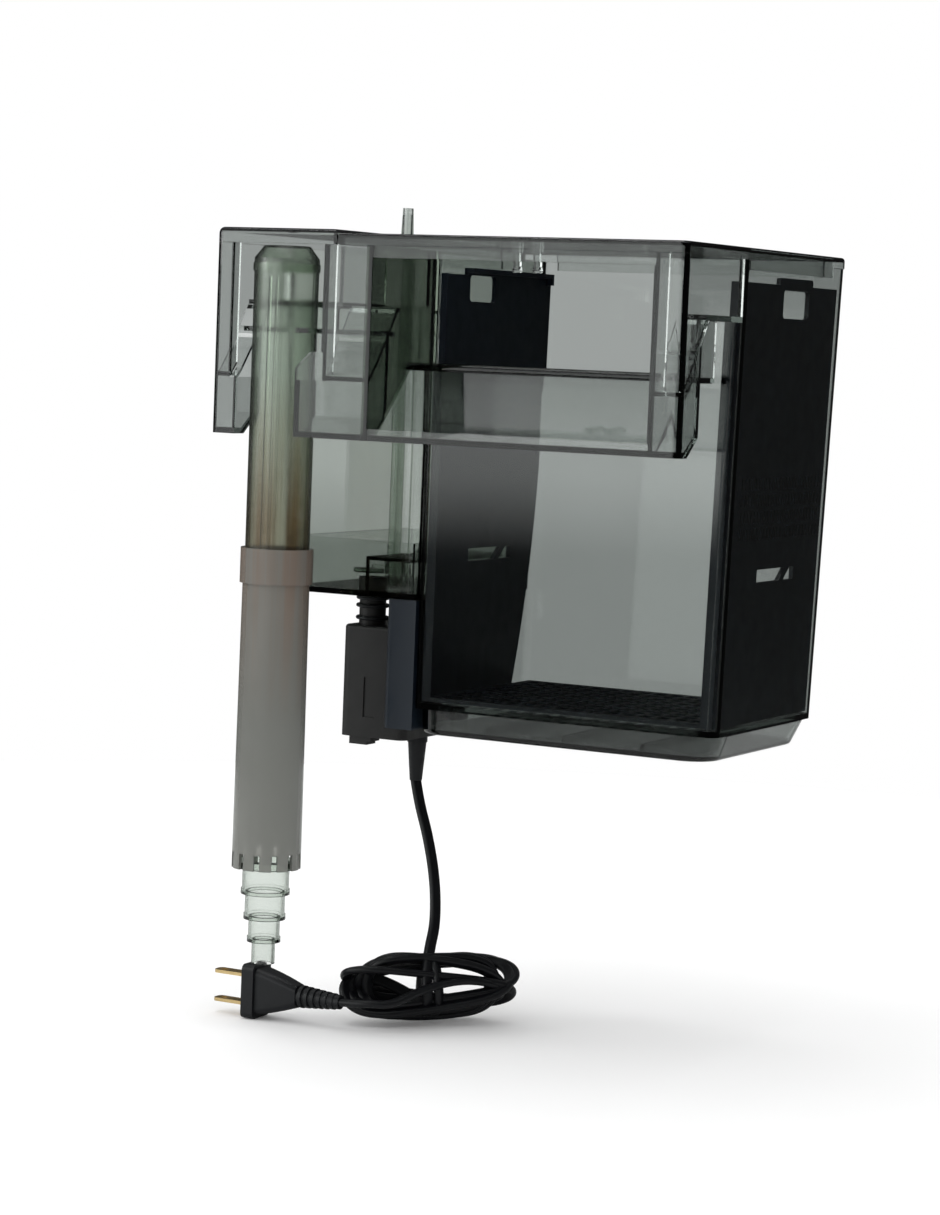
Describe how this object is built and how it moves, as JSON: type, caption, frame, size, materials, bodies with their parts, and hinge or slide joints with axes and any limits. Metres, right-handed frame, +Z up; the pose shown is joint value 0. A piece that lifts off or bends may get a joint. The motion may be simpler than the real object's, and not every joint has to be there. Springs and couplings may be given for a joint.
{
  "type": "hang on back filter",
  "caption": "Hang-on-back aquarium filter: smoky clear chambers on a rim hook with spillway, intake tube, lift-out media basket, motor pump, lids, cord and plug.",
  "frame": {"origin": "middle of the underside of the spillway's floor, which rests on the aquarium's rim", "axes": "+Z up, +X to the right seen from inside the aquarium, +Y away from the aquarium"},
  "size_m": [0.2324, 0.169, 0.3602],
  "materials": {
    "smoky_clear": "clear smoky grey-green moulded plastic",
    "green_clear": "clear smoky green moulded plastic, a little darker",
    "smoky_dark": "clear smoky plastic, darker",
    "tube_warm": "milky warm grey plastic",
    "tube_grey": "translucent warm grey plastic",
    "clear_plastic": "clear colourless plastic",
    "basket_black": "satin blue-black plastic",
    "motor_black": "satin black plastic",
    "rubber_black": "matt black rubber",
    "impeller_white": "satin white plastic",
    "ferrite": "dark grey ceramic magnet",
    "ceramic": "white ceramic",
    "steel": "stainless steel",
    "iron": "laminated iron",
    "copper": "enamelled copper wire",
    "brass": "plain brass",
    "cord_black": "satin black cord jacket"
  },
  "bodies": {
    "filter_body": {"intake_bay": "green_clear", "media_chamber": "smoky_clear", "bottom_pan": "smoky_dark", "outlet_duct": "basket_black", "spillway_hook": "smoky_clear", "bay_baffle": "green_clear", "intake_tube": "tube_grey", "tube_cap": "tube_grey", "pump_cover": "motor_black", "neck_o_rings": "rubber_black", "outlet_o_ring": "rubber_black", "motor_housing": "motor_black", "motor_end_cap": "motor_black", "pump_screws": "steel", "stator_core": "iron", "stator_coil": "copper", "impeller_shaft": "ceramic", "shaft_bushings": "rubber_black", "cord_gland": "rubber_black", "cord_drop": "cord_black", "cord_bundle": "cord_black", "cord_tail": "cord_black", "plug_relief": "rubber_black", "plug_body": "rubber_black", "plug_blades": "brass"},
    "main_lid": {"main_lid": "smoky_clear"},
    "media_basket": {"basket_left_side": "basket_black", "basket_right_side": "basket_black", "basket_floor": "basket_black"},
    "intake_cover": {"intake_cover": "smoky_clear"},
    "flow_control": {"flow_rod": "clear_plastic", "valve_paddle": "clear_plastic"},
    "extension_tube": {"extension_tube": "tube_warm"},
    "stepped_adapter": {"stepped_adapter": "clear_plastic"},
    "rotor": {"impeller": "impeller_white", "rotor_magnet": "ferrite"}
  },
  "joints": [
    {"name": "main_lid_lift", "type": "slide", "parent": "filter_body", "child": "main_lid", "axis": [0, 0, 1], "range_m": [0, 0.26]},
    {"name": "basket_lift", "type": "slide", "parent": "filter_body", "child": "media_basket", "axis": [0, 0, 1], "range_m": [0, 0.208]},
    {"name": "intake_cover_lift", "type": "slide", "parent": "filter_body", "child": "intake_cover", "axis": [0, 0, 1], "range_m": [0, 0.05]},
    {"name": "flow_control_turn", "type": "hinge", "parent": "filter_body", "child": "flow_control", "pos_m": [-0.0733, 0.053, 0], "axis": [0, 0, 1], "range_deg": [0, 70]},
    {"name": "extension_pull", "type": "slide", "parent": "filter_body", "child": "extension_tube", "axis": [0, 0, -1], "range_m": [0, 0.018]},
    {"name": "adapter_pull", "type": "slide", "parent": "extension_tube", "child": "stepped_adapter", "axis": [0, 0, -1], "range_m": [0, 0.01]},
    {"name": "rotor_spin", "type": "hinge", "parent": "filter_body", "child": "rotor", "pos_m": [-0.077, 0.041, -0.16], "axis": [0, 0, 1], "continuous": true}
  ],
  "couplings": [
    {"joint": "basket_lift", "follows": "main_lid_lift", "ratio": 0.8}
  ]
}
